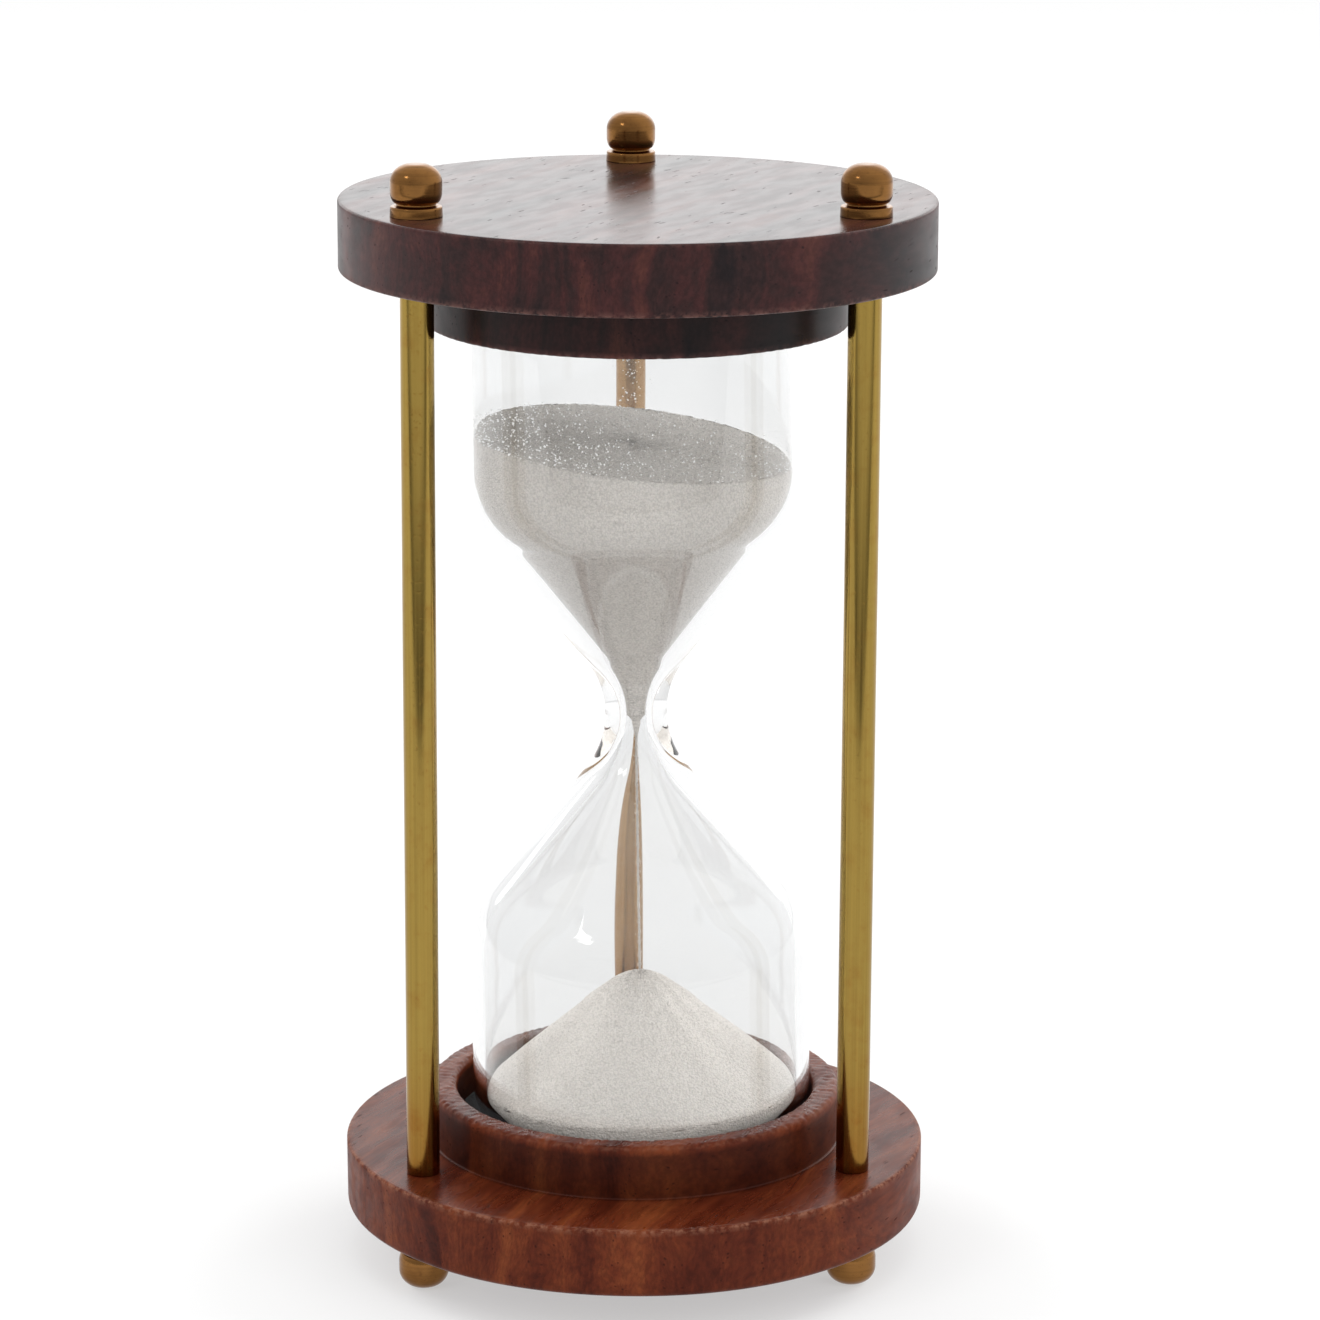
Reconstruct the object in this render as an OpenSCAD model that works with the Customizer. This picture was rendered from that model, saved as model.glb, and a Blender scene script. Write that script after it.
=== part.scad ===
// Sand timer: a blown glass held between two turned wooden plates by three brass pillars.
// The pillars' threaded ends pass through the plates into brass ball nuts, whose lower
// three are the feet. Millimetres, +Z up, origin on the table under the middle.

/* [Plates] */
// Wood outside the pillars' circle, out to the rim of each plate
plate_rim = 7; // [5:0.25:20]
// Thickness of a plate without its collar
plate_t = 10.5; // [8:0.5:20]
// Wood of the collar round the glass's recess, turned on each plate's inner face
collar_wall = 4; // [2.5:0.25:8]
// Height of the collar above the plate's inner face
collar_h = 8.2; // [4:0.1:12]
// How far the recess for the glass is sunk below the plate's inner face
seat_sink = 2; // [0.5:0.1:5]
// Rounding of the turned edges
edge_round = 0.7; // [0.3:0.1:1.2]

/* [Pillars] */
// Diameter of a brass pillar
pillar_d = 5; // [4:0.1:7]
// Space between the collar and a pillar
pillar_gap = 3.5; // [2:0.25:10]
// Turn of the pillars about the middle, from one straight behind
pillar_turn = 2; // [-30:0.5:30]
// Major diameter of the thread on a pillar's two ends
thread_d = 3; // [2.5:0.5:4]
// Radial clearance of the thread in the plate's hole
hole_clearance = 0.2; // [0.05:0.05:0.5]

/* [Ball nuts] */
// Height of a ball nut from the wood to its crown
nut_h = 7.6; // [6.5:0.1:12]
// Diameter of the ball
ball_d = 7.6; // [7:0.1:10]
// Diameter of the base ring against the wood
nut_base_d = 7.7; // [6.5:0.1:10]
// Height of the base ring
nut_base_h = 1.5; // [1:0.1:2.5]
// Diameter of the groove between the base ring and the ball
nut_neck_d = 5.8; // [5.2:0.1:6.4]
// Diameter of the small flat on the crown
crown_flat_d = 1.8; // [1:0.1:3]
// How far the thread runs into the nut
thread_grip = 4.4; // [3:0.1:5]

/* [Glass] */
// Length of the glass over its two ends
glass_len = 132.8; // [110:0.2:170]
// Outer diameter of the bulbs
glass_d = 52; // [40:0.5:60]
// Wall of the straight part of a bulb and of its end
glass_wall = 2; // [1.5:0.1:3]
// Wall of the cone where it leaves the shoulder
cone_wall = 1.9; // [1.2:0.05:2.4]
// Outer diameter of the neck
neck_d = 9.4; // [7:0.1:14]
// Diameter of the throat that meters the sand
throat_d = 3.2; // [1.6:0.1:3.8]
// Half angle of the cone outside
cone_angle = 37.3; // [32:0.1:45]
// How much wider the half angle of the cone is inside, which thickens the wall towards the neck
inner_flare = 2.2; // [1.9:0.1:3.5]
// Rounding from the neck into the cone
neck_round = 13.6; // [8:0.1:18]
// Rounding of the bulb's shoulder
shoulder_round = 15; // [6:0.1:20]
// Rounding of the bulb's closed end
end_round = 7.5; // [4:0.1:12]
// Radial clearance of the glass in its recess
glass_clearance = 1.5; // [0.8:0.1:2.5]
// Share of that clearance that the leaning glass takes up
lean_share = 0.8; // [0:0.05:0.85]
// Diameter of the filling hole in the upper end
filler_d = 9; // [5:0.5:14]
// Length of the cork in the filling hole
cork_len = 6; // [4:0.5:10]

/* [Pads] */
// Foam left between the glass and the floor of its recess
pad_under = 3.2; // [1.5:0.1:6]
// How deep the glass sinks into the foam
pad_bite = 1.8; // [0.5:0.1:3]
// How far the glass has settled towards the lower foam
settle = 0.7; // [0:0.1:1.2]

/* [Sand] */
// Height of the upper sand's surface above the throat
upper_level = 41.8; // [34:0.1:50]
// Fall of that surface from left to right, in degrees from level
upper_slope = 6; // [0:0.5:8]
// Fall of that surface towards the front, in degrees from level
upper_dip = 1.5; // [0:0.5:4]
// Height of the heap's edge above the rounding of the end
heap_edge = 0.5; // [0.1:0.1:8]
// Slope of the lower heap, in degrees
heap_slope = 39; // [28:0.5:40]
// Diameter of the falling stream where it lands
stream_d = 0.6; // [0.5:0.1:1.5]

/* [Hidden] */

wood = [0.33, 0.13, 0.09];
brass = [0.68, 0.52, 0.25];
clear = [0.9, 0.93, 0.93, 0.35];
grain = [0.80, 0.78, 0.75];
foam = [0.08, 0.08, 0.09];
cork = [0.68, 0.50, 0.33];

// Running gaps between pieces that touch in the real object
thread_gap = 0.03; // between a nut's bore and the thread
pad_gap = 0.05; // between the foam and what it touches
sand_gap = 0.15; // between the sand and the glass
cork_gap = 0.02; // between the cork and its hole

// Radii from the glass outwards
glass_r = glass_d / 2;
seat_r = glass_r + glass_clearance;
collar_r = seat_r + collar_wall;
pillar_circle_r = collar_r + pillar_gap + pillar_d / 2;
plate_r = pillar_circle_r + plate_rim;

// Levels above the table
pillar_len = glass_len + 2 * (pad_under - seat_sink);
base_z = nut_h;
pillar_z = base_z + plate_t;
middle_z = pillar_z + pillar_len / 2;
seat_z = pillar_z - seat_sink;
glass_lean = atan(lean_share * glass_clearance / (glass_len / 2));

// Where the pillars stand
rear_angle = 90 + pillar_turn;
left_angle = 210 + pillar_turn;
right_angle = 330 + pillar_turn;
thread_len = plate_t + thread_grip;
thread_chamfer = 0.4;

arc_steps = 10;

// Points of an arc about [x, y], from angle a to angle b
function arc(x, y, r, a, b, n = arc_steps) =
  [for (i = [0:n]) [x + r * cos(a + (b - a) * i / n), y + r * sin(a + (b - a) * i / n)]];

// Length along either side from a corner to its rounding, where the outline turns by 'turn'
function tangent_len(r, turn) = r * tan(turn / 2);

// Half outline of a bulb, from the throat's level out to the end: [radius, height above the throat].
// The neck's rounding runs into the cone of half angle a, the cone into the shoulder, and the wall
// into the end.
function bulb_outline(neck_r, bulb_r, half_len, a, waist, shoulder, end_r) =
  let (
    shoulder_z = tangent_len(waist, a) + (bulb_r - neck_r) / tan(a),
    arc_z = shoulder_z + tangent_len(shoulder, a)
  )
  concat(
    arc(neck_r + waist, 0, waist, 180, 180 - a),
    arc(bulb_r - shoulder, arc_z, shoulder, -a, 0),
    arc(bulb_r - end_r, half_len - end_r, end_r, 0, 90)
  );

// Outer and inner outlines of the glass. The inner cone meets the bulb's inside where it lies one
// cone_wall inside the outer cone, and its rounding at the throat follows from that.
inner_angle = cone_angle + inner_flare;
inner_r = glass_r - glass_wall;
inner_half = glass_len / 2 - glass_wall;
inner_corner_z =
  tangent_len(neck_round, cone_angle)
  + (inner_r + cone_wall / cos(cone_angle) - neck_d / 2) / tan(cone_angle);
inner_start = inner_corner_z - (inner_r - throat_d / 2) / tan(inner_angle);
throat_round = inner_start / tan(inner_angle / 2);
function outer_outline(grow = 0) =
  bulb_outline(
    neck_d / 2 + grow, glass_r + grow, glass_len / 2 + grow,
    cone_angle, neck_round - grow, shoulder_round + grow, end_round + grow
  );
function inner_outline(shrink = 0) =
  bulb_outline(
    throat_d / 2 - shrink, inner_r - shrink, inner_half - shrink,
    inner_angle, throat_round + shrink, shoulder_round - glass_wall - shrink, end_round - glass_wall - shrink
  );

// The same outline below the throat, in the order from the end back to the throat
function flipped(points) = [for (i = [len(points) - 1:-1:0]) [points[i][0], -points[i][1]]];

// A whole glass-shaped solid of revolution about the throat
module bulbs(points) {
  last = len(points) - 1;
  rotate_extrude($fn = 96)
    polygon(concat([[0, -points[last][1]]], flipped(points), points, [[0, points[last][1]]]));
}

// Puts what is drawn about the throat into the leaning glass's place
module in_glass() {
  translate([0, 0, middle_z - settle]) rotate([0, -glass_lean, 0]) children();
}

// Puts a shape drawn for the base in the same place at the top
module at_top() {
  translate([0, 0, 2 * middle_z]) mirror([0, 0, 1]) children();
}

// Puts a shape drawn on the Z axis at a pillar's place
module at_pillar(angle) {
  rotate(angle) translate([pillar_circle_r, 0, 0]) rotate(-angle) children();
}

// --- Wood -------------------------------------------------------------------------------

// A plate with its collar and the recess that the glass sits in, turned from one blank
module plate() {
  r = edge_round;
  collar_z = pillar_z + collar_h;
  outline = concat(
    [[0, base_z]],
    arc(plate_r - r, base_z + r, r, -90, 0),
    arc(plate_r - r, pillar_z - r, r, 0, 90),
    [[collar_r, pillar_z]],
    arc(collar_r - r, collar_z - r, r, 0, 90),
    arc(seat_r + r, collar_z - r, r, 90, 180),
    [[seat_r, seat_z], [0, seat_z]]
  );
  color(wood) difference() {
    rotate_extrude($fn = 96) polygon(outline);
    for (angle = [rear_angle, left_angle, right_angle])
      at_pillar(angle) translate([0, 0, base_z - 1])
        cylinder(d = thread_d + 2 * hole_clearance, h = plate_t + 2, $fn = 32);
  }
}

module base_plate() plate();
module top_plate() at_top() plate();

// --- Brass ------------------------------------------------------------------------------

// A pillar with a shoulder against each plate and a threaded end through it
module pillar(angle) {
  r = thread_d / 2;
  low = pillar_z - thread_len;
  outline = [
    [0, low],
    [r - thread_chamfer, low],
    [r, low + thread_chamfer],
    [r, pillar_z],
    [pillar_d / 2, pillar_z],
    [pillar_d / 2, middle_z],
    [0, middle_z],
  ];
  color(brass) at_pillar(angle) union() {
    rotate_extrude($fn = 48) polygon(outline);
    at_top() rotate_extrude($fn = 48) polygon(outline);
  }
}

module pillar_left() pillar(left_angle);
module pillar_right() pillar(right_angle);
module pillar_rear() pillar(rear_angle);

// A ball nut drawn crown down, with its base ring against the base plate: the ring, a groove,
// the ball with its short straight band, and the small flat on the crown
module ball_nut(angle) {
  ring_r = nut_base_d / 2;
  ball_r = ball_d / 2;
  neck_r = nut_neck_d / 2;
  ball_h = nut_h - nut_base_h;
  cove = (ring_r - neck_r) * 0.55;
  under_h = ball_h * 0.28;
  dome_h = ball_h * 0.42;
  flat_r = crown_flat_d / 2;
  bevel = 0.15;
  outline = concat(
    [[0, 0], [ring_r, 0], [ring_r, nut_base_h - bevel], [ring_r - bevel, nut_base_h]],
    [[neck_r + cove, nut_base_h]],
    arc(neck_r + cove, nut_base_h + cove, cove, 270, 180, 5),
    [for (i = [0:6]) let (t = 90 * i / 6)
      [neck_r + (ball_r - neck_r) * sin(t), nut_base_h + cove + under_h * (1 - cos(t))]],
    [for (i = [0:arc_steps]) let (t = 90 * i / arc_steps)
      [flat_r + (ball_r - flat_r) * cos(t), nut_h - dome_h * (1 - sin(t))]],
    [[0, nut_h]]
  );
  color(brass) at_pillar(angle) translate([0, 0, base_z]) mirror([0, 0, 1]) difference() {
    rotate_extrude($fn = 48) polygon(outline);
    translate([0, 0, -1]) cylinder(r = thread_d / 2 + thread_gap, h = thread_grip + 1.4, $fn = 32);
  }
}

module foot_nut_left() ball_nut(left_angle);
module foot_nut_right() ball_nut(right_angle);
module foot_nut_rear() ball_nut(rear_angle);
module top_nut_left() at_top() ball_nut(left_angle);
module top_nut_right() at_top() ball_nut(right_angle);
module top_nut_rear() at_top() ball_nut(rear_angle);

// --- Glass, cork and foam ------------------------------------------------------------------

// Both bulbs and the thick neck, blown in one piece, with the filling hole in the upper end
module glass() {
  color(clear) in_glass() difference() {
    bulbs(outer_outline());
    bulbs(inner_outline());
    translate([0, 0, glass_len / 2 - glass_wall - 1]) cylinder(d = filler_d, h = glass_wall + 2, $fn = 48);
  }
}

// The cork that closes the filling hole, flush with the glass's end
module filler_cork() {
  color(cork) in_glass() translate([0, 0, glass_len / 2 - cork_len])
    cylinder(d = filler_d - 2 * cork_gap, h = cork_len, $fn = 48);
}

// A foam disc in the recess, pressed to the shape of the glass's end. The glass stands 'drop'
// below the middle as the disc sees it, and leans by 'lean'.
module pad(drop, lean) {
  color(foam) difference() {
    translate([0, 0, seat_z]) cylinder(r = seat_r - pad_gap, h = pad_under - drop + pad_bite, $fn = 96);
    translate([0, 0, middle_z - drop]) rotate([0, -lean, 0]) bulbs(outer_outline(pad_gap));
  }
}

module base_pad() pad(settle, glass_lean);
module top_pad() at_top() pad(-settle, -glass_lean);

// --- Sand -------------------------------------------------------------------------------

// Outline of the space for sand in the lower bulb, from the throat down to the end
sand_space = inner_outline(sand_gap);

// What is still above the throat, with its surface fallen towards the right
module sand_upper() {
  last = len(sand_space) - 1;
  color(grain) in_glass() difference() {
    rotate_extrude($fn = 96) polygon(concat([[0, 0]], sand_space, [[0, sand_space[last][1]]]));
    translate([0, 0, upper_level]) rotate([upper_dip, upper_slope + glass_lean, 0])
      translate([-glass_d, -glass_d, 0]) cube([2 * glass_d, 2 * glass_d, glass_len]);
  }
}

// The heap below: the rounded end's shape up to the edge, then a cone with a blunt tip
heap_r = inner_r - sand_gap;
heap_floor = sand_gap - inner_half;
heap_corner = end_round - glass_wall - sand_gap;
heap_edge_z = heap_floor + heap_corner + heap_edge;
tip_r = 3;
peak_z = heap_edge_z + (heap_r - tip_r) * tan(heap_slope) + tip_r * tan(heap_slope) / 2;
module sand_lower() {
  tip_z = heap_edge_z + (heap_r - tip_r) * tan(heap_slope);
  color(grain) in_glass() rotate_extrude($fn = 96) polygon(concat(
    [[0, heap_floor]],
    arc(heap_r - heap_corner, heap_floor + heap_corner, heap_corner, -90, 0),
    [[heap_r, heap_edge_z], [tip_r, tip_z]],
    [for (i = [1:5]) let (t = 1 - i / 5)
      [stream_d + (tip_r - stream_d) * t, peak_z - (peak_z - tip_z) * t * t]],
    [[0, peak_z]]
  ));
}

// The thread of sand between the throat and the heap, thinner as it gathers speed
module sand_stream() {
  color(grain) in_glass() translate([0, 0, peak_z])
    cylinder(d1 = stream_d, d2 = throat_d - 2 * sand_gap, h = -peak_z, $fn = 24);
}

base_plate();
top_plate();
pillar_left();
pillar_right();
pillar_rear();
foot_nut_left();
foot_nut_right();
foot_nut_rear();
top_nut_left();
top_nut_right();
top_nut_rear();
glass();
filler_cork();
base_pad();
top_pad();
sand_upper();
sand_stream();
sand_lower();
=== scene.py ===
import bpy
import numpy as np
from mathutils import Matrix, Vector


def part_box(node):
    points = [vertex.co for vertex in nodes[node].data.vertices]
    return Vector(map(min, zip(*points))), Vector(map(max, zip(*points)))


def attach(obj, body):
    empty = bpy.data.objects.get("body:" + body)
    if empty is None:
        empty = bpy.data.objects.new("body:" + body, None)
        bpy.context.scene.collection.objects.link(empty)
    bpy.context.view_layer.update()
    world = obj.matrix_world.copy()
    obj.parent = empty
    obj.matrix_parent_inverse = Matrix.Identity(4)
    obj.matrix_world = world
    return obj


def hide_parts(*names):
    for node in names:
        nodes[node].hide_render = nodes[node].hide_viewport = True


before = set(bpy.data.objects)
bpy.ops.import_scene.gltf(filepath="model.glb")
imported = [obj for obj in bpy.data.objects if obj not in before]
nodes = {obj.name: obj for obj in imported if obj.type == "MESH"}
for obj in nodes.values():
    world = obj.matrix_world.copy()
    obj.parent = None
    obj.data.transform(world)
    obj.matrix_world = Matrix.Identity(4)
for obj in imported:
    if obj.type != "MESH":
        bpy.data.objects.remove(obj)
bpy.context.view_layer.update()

# --- Turned wooden plates ---------------------------------------------------------------------
# Two discs of dark hardwood, faced and turned on a lathe with a stepped collar and a round recess
# for the glass, then varnished. The base is the lighter one, and its collar's lip is worn.

plate_base_low, plate_base_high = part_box("base_plate")
plate_top_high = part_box("top_plate")[1]
middle_z = (plate_base_low.z + plate_top_high.z) / 2
plate_radius = (plate_base_high.x - plate_base_low.x) / 2
plate_height = 0.0105
collar_radius = 0.0315
collar_height = plate_base_high.z - plate_base_low.z - plate_height
seat_radius = 0.0275
seat_sink = 0.0020
wear_reach = 0.00045
plate_points_round = 500


def outline(corners, step, arc_points=9):
    """Runs through corners of (radius, height, rounding) in order. Each corner is replaced by the arc
    of its rounding that touches both straights, and the straights get points every step."""
    points = [np.array(corners[0][:2])]
    for before, here, after in zip(corners, corners[1:], corners[2:]):
        at = np.array(here[:2])
        came = at - before[:2]
        goes = np.array(after[:2]) - at
        came, goes = came / np.linalg.norm(came), goes / np.linalg.norm(goes)
        turn = np.arccos(np.clip(came @ goes, -1, 1))
        if here[2] == 0 or turn < 1e-4:
            points.append(at)
            continue
        inward = (goes - came) / np.linalg.norm(goes - came)
        centre = at + inward * here[2] / np.cos(turn / 2)
        first = at - came * here[2] * np.tan(turn / 2) - centre
        last = at + goes * here[2] * np.tan(turn / 2) - centre
        share = np.linspace(0, 1, arc_points)[:, None]
        arc = (np.sin((1 - share) * turn) * first + np.sin(share * turn) * last) / np.sin(turn)
        points.extend(arc + centre)
    points.append(np.array(corners[-1][:2]))
    dense = [points[0]]
    for start, end in zip(points, points[1:]):
        parts = int(np.ceil(np.linalg.norm(end - start) / step))
        dense.extend(start + (end - start) * (k + 1) / parts for k in range(parts))
    return np.array(dense)


def waves(seed, count, angle, along, per_turn, per_metre):
    """A smooth irregular value, about -1 to 1, that closes round a turn: the mean of count cosines,
    each of a whole number of waves per turn and some waves per metre, with a random phase."""
    rng = np.random.default_rng(seed)
    total = 0
    for _ in range(count):
        turns = rng.integers(per_turn[0], per_turn[1] + 1)
        run = rng.uniform(-per_metre, per_metre) * 2 * np.pi
        total = total + np.cos(turns * angle + run * along + rng.uniform(0, 2 * np.pi))
    return total * np.sqrt(2 / count) / 1.6


def skin(name, points, faces, smooth_to=40):
    """A mesh object from an array of points and a list of face arrays, with edges that turn more
    than smooth_to degrees left sharp."""
    mesh = bpy.data.meshes.new(name)
    corners = np.concatenate([group.ravel() for group in faces])
    sizes = np.concatenate([np.full(len(group), group.shape[1]) for group in faces])
    mesh.vertices.add(len(points))
    mesh.vertices.foreach_set("co", points.astype(np.float32).ravel())
    mesh.loops.add(len(corners))
    mesh.loops.foreach_set("vertex_index", corners.astype(np.int32))
    mesh.polygons.add(len(sizes))
    mesh.polygons.foreach_set("loop_start", (np.cumsum(sizes) - sizes).astype(np.int32))
    mesh.update(calc_edges=True)
    mesh.shade_smooth()
    mesh.set_sharp_from_angle(angle=np.radians(smooth_to))
    piece = bpy.data.objects.new(name, mesh)
    bpy.context.scene.collection.objects.link(piece)
    return piece


def ring_faces(rings, around):
    """Quads between neighbouring rings of points, and a fan to a pole before the first ring and
    after the last. The poles are the two points after the rings'."""
    low = np.arange(rings - 1)[:, None] * around
    step = np.arange(around)[None, :]
    after = (step + 1) % around
    quads = np.stack([low + step, low + after, low + around + after, low + around + step], -1)
    first, last = rings * around, rings * around + 1
    step, after = step[0], after[0]
    end = (rings - 1) * around
    start_fan = np.stack([np.full(around, first), after, step], -1)
    end_fan = np.stack([np.full(around, last), end + step, end + after], -1)
    return [quads.reshape(-1, 4), start_fan, end_fan]


def turned(name, profile, around, change=None, middle=(0, 0), smooth_to=40):
    """A closed solid of revolution: the profile of (radius, height), whose ends lie on the axis, is
    carried once round. change(angle, radius, height) may return new radii and heights."""
    angle = np.linspace(0, 2 * np.pi, around, endpoint=False)[None, :]
    radius = np.repeat(profile[1:-1, :1], around, 1)
    height = np.repeat(profile[1:-1, 1:], around, 1)
    if change:
        radius, height = change(angle, radius, height)
    rings = np.stack([radius * np.cos(angle), radius * np.sin(angle), height], -1).reshape(-1, 3)
    poles = np.array([[0, 0, profile[0, 1]], [0, 0, profile[-1, 1]]])
    points = np.concatenate([rings, poles]) + [middle[0], middle[1], 0]
    return skin(name, points, ring_faces(len(profile) - 2, around), smooth_to)


def recipe(name):
    """A new material, and add(kind, settings, inputs), which makes a shader node, sets its settings
    and feeds its sockets with numbers or with other sockets, and returns it."""
    material = bpy.data.materials.new(name)
    material.use_nodes = True
    tree = material.node_tree
    tree.nodes.clear()

    def add(kind, settings=None, inputs=None):
        node = tree.nodes.new("ShaderNode" + kind)
        for key, value in (settings or {}).items():
            setattr(node, key, value)
        for key, value in (inputs or {}).items():
            if isinstance(value, bpy.types.NodeSocket):
                tree.links.new(value, node.inputs[key])
            else:
                node.inputs[key].default_value = value
        return node

    return material, add


def reckon(add, operation, first, second=0.0, third=0.0):
    """One step of arithmetic between sockets or numbers."""
    return add("Math", {"operation": operation}, {0: first, 1: second, 2: third}).outputs[0]


def stretched(add, vector, scale, turn=(0, 0, 0)):
    """Coordinates turned by radians and then scaled along each axis."""
    turned_to = add("Mapping", {}, {"Vector": vector, "Rotation": turn}).outputs[0]
    return add("VectorMath", {"operation": "MULTIPLY"}, {0: turned_to, 1: scale}).outputs[0]


def noise(add, vector, scale, detail=2.0, rough=0.5):
    """Cloudy noise from 0 to 1, with scale features per unit."""
    inputs = {"Vector": vector, "Scale": scale, "Detail": detail, "Roughness": rough}
    return add("TexNoise", {}, inputs).outputs["Fac"]


def between(add, value, low, high, to_low=0.0, to_high=1.0):
    """Maps low..high smoothly to to_low..to_high and holds the ends."""
    inputs = {"Value": value, "From Min": low, "From Max": high, "To Min": to_low, "To Max": to_high}
    return add("MapRange", {"interpolation_type": "SMOOTHSTEP"}, inputs).outputs[0]


def blend_colour(add, share, first, second, mode="MIX"):
    """Mixes two colours by share."""
    settings = {"data_type": "RGBA", "blend_type": mode}
    return add("Mix", settings, {0: share, 6: first, 7: second}).outputs[2]


def colours(add, value, stops):
    """A colour from value, through stops of (position, colour)."""
    node = add("ValToRGB", {}, {"Fac": value})
    ramp = node.color_ramp
    for place, colour in stops[1:-1]:
        ramp.elements.new(place).color = (*colour, 1)
    ramp.elements[0].position, ramp.elements[0].color = stops[0][0], (*stops[0][1], 1)
    ramp.elements[-1].position, ramp.elements[-1].color = stops[-1][0], (*stops[-1][1], 1)
    return node.outputs["Color"]


def finish_with(add, shader):
    """Feeds the shader to the material's output."""
    add("OutputMaterial", {}, {"Surface": shader})


def varnished_wood(name, grain_turn, heart, stops, worn, pore_colour, shine, gloss):
    """Rosewood under varnish. The grain runs along the board's own x, at grain_turn from X. Growth
    rings are noise over the distance from the heart line, bent by slow noise and broken up by cloudy
    patches. Pores are short dark cells along the grain, sunk in the surface. The arris attribute
    lightens the worn edges. The turned rims are duller than the faces."""
    material, add = recipe(name)
    board = stretched(add, add("TexCoord").outputs["Object"], (1, 1, 1), (0, 0, -grain_turn))
    slow_place = stretched(add, board, (0.5, 1, 0.6))
    slow = add("TexNoise", {}, {"Vector": slow_place, "Scale": 45.0, "Detail": 3.0})
    drift = add("VectorMath", {"operation": "SUBTRACT"}, {0: slow.outputs["Color"], 1: (0.5, 0.5, 0.5)})
    drift = add("VectorMath", {"operation": "SCALE"}, {0: drift.outputs[0], "Scale": 0.012})
    bent = add("VectorMath", {"operation": "ADD"}, {0: board, 1: drift.outputs[0]}).outputs[0]
    across = add("VectorMath", {"operation": "MULTIPLY"}, {0: bent, 1: (0.10, 1, 0.35)}).outputs[0]
    from_heart = add("VectorMath", {"operation": "DISTANCE"}, {0: across, 1: heart}).outputs["Value"]
    ring_inputs = {"W": from_heart, "Scale": 150.0, "Detail": 4.0, "Roughness": 0.6}
    rings = add("TexNoise", {"noise_dimensions": "1D"}, ring_inputs).outputs["Fac"]
    clouds = noise(add, stretched(add, bent, (0.35, 1, 0.6)), 110.0, 4.0, 0.6)
    mottle = noise(add, stretched(add, bent, (0.4, 1, 0.8)), 520.0, 3.0, 0.6)
    figure = reckon(add, "MULTIPLY", rings, 0.42)
    figure = reckon(add, "MULTIPLY_ADD", clouds, 0.38, figure)
    figure = reckon(add, "MULTIPLY_ADD", mottle, 0.20, figure)
    colour = colours(add, figure, stops)

    fibre = noise(add, stretched(add, bent, (0.06, 1, 0.5)), 2200.0, 3.0, 0.6)
    shade = between(add, fibre, 0.3, 0.7, 0.80, 1.18)
    colour = blend_colour(add, 1.0, colour, shade, "MULTIPLY")

    cells = add("TexVoronoi", {}, {"Vector": stretched(add, bent, (0.16, 1, 1)), "Scale": 1500.0})
    chosen = add("SeparateColor", {}, {"Color": cells.outputs["Color"]}).outputs[0]
    pore = reckon(
        add, "MULTIPLY",
        between(add, cells.outputs["Distance"], 0.32, 0.12), between(add, chosen, 0.76, 0.94),
    )
    colour = blend_colour(add, reckon(add, "MULTIPLY", pore, 0.7), colour, pore_colour)

    arris = add("Attribute", {"attribute_name": "arris"}).outputs["Fac"]
    rubbed = between(add, noise(add, board, 900.0, 3.0, 0.7), 0.40, 0.62)
    colour = blend_colour(add, reckon(add, "MULTIPLY", arris, rubbed), colour, worn)

    # A second attribute darkens the recess, as painted shade, and the collar's wall.
    stain = add("Attribute", {"attribute_name": "stain"}).outputs["Fac"]
    darker_by = reckon(add, "MULTIPLY_ADD", stain, -0.75, 1.0)
    colour = blend_colour(add, 1.0, colour, darker_by, "MULTIPLY")

    swirl = noise(add, stretched(add, board, (0.3, 1, 1)), 420.0, 2.0)
    sunk = reckon(add, "MULTIPLY", pore, 0.30)
    height = reckon(add, "SUBTRACT", reckon(add, "MULTIPLY", fibre, 0.012), sunk)
    height = reckon(add, "MULTIPLY_ADD", swirl, 0.02, height)
    bump = add("Bump", {}, {"Height": height, "Strength": 0.35, "Distance": 0.00008})
    dull = reckon(add, "MULTIPLY_ADD", pore, 0.2, between(add, swirl, 0.3, 0.7, shine[0], shine[1]))
    dull = reckon(add, "MULTIPLY_ADD", arris, 0.2, dull)
    upright = add("SeparateXYZ", {}, {"Vector": add("TexCoord").outputs["Normal"]}).outputs["Z"]
    dull = reckon(add, "ADD", dull, between(add, reckon(add, "ABSOLUTE", upright), 0.3, 0.7, 0.16, 0.0))
    shader = add(
        "BsdfPrincipled", {},
        {"Base Color": colour, "Roughness": dull, "Specular IOR Level": gloss, "Normal": bump.outputs[0]},
    )
    finish_with(add, shader.outputs[0])
    return material


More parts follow.
